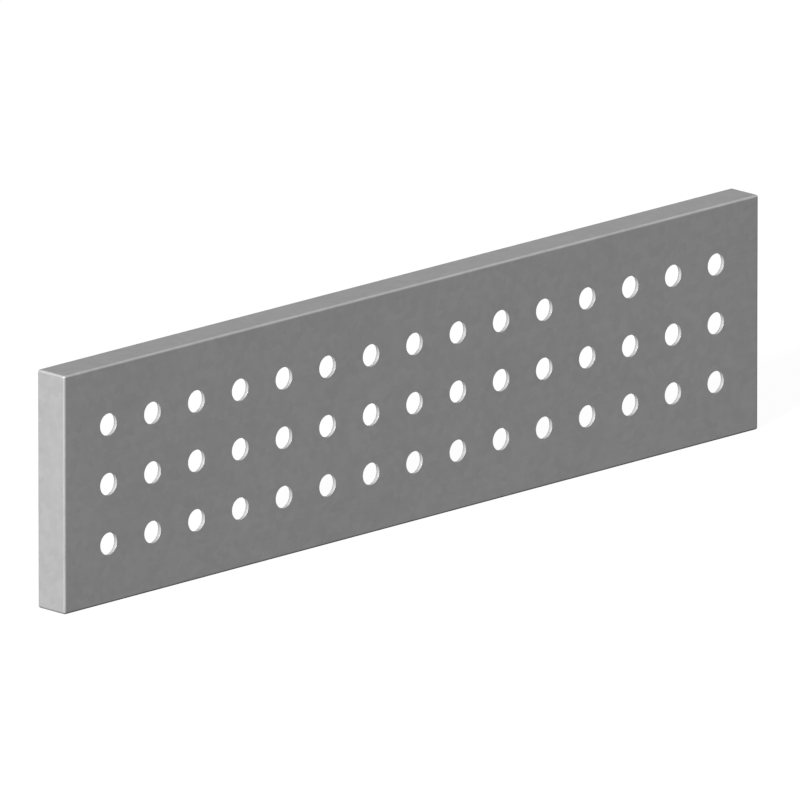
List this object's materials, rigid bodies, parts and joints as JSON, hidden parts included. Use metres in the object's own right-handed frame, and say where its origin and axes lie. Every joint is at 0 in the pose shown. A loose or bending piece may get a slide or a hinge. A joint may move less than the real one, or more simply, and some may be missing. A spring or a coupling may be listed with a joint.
{
  "type": "scaffold plank",
  "caption": "Perforated sheet-steel scaffold plank: open-backed folded channel with drained deck, closed ends and hidden cross ribs.",
  "frame": {"origin": "centre of the underside of the long side that the plank stands on, which is the bottom centre of its bounding box", "axes": "+X along the plank, -Y out of the perforated deck face and +Y out of the open back, +Z up across the plank's width. As stored, the plank stands on one long side, as the picture shows it; in use it lies with -Y upwards"},
  "size_m": [1, 0.039, 0.25],
  "materials": {
    "galvanised_sheet": "matt hot-dip galvanised",
    "galvanised_weld": "dressed weld, matt hot-dip galvanised"
  },
  "bodies": {
    "root": {"deck_channel": "galvanised_sheet", "end_cap_left": "galvanised_sheet", "end_cap_right": "galvanised_sheet", "rib_left": "galvanised_sheet", "rib_right": "galvanised_sheet", "end_weld_left": "galvanised_weld", "end_weld_right": "galvanised_weld", "lip_weld_left_bottom": "galvanised_weld", "lip_weld_left_top": "galvanised_weld", "lip_weld_right_bottom": "galvanised_weld", "lip_weld_right_top": "galvanised_weld", "rib_weld_left_bottom": "galvanised_weld", "rib_weld_left_top": "galvanised_weld", "rib_weld_right_bottom": "galvanised_weld", "rib_weld_right_top": "galvanised_weld"}
  },
  "joints": []
}
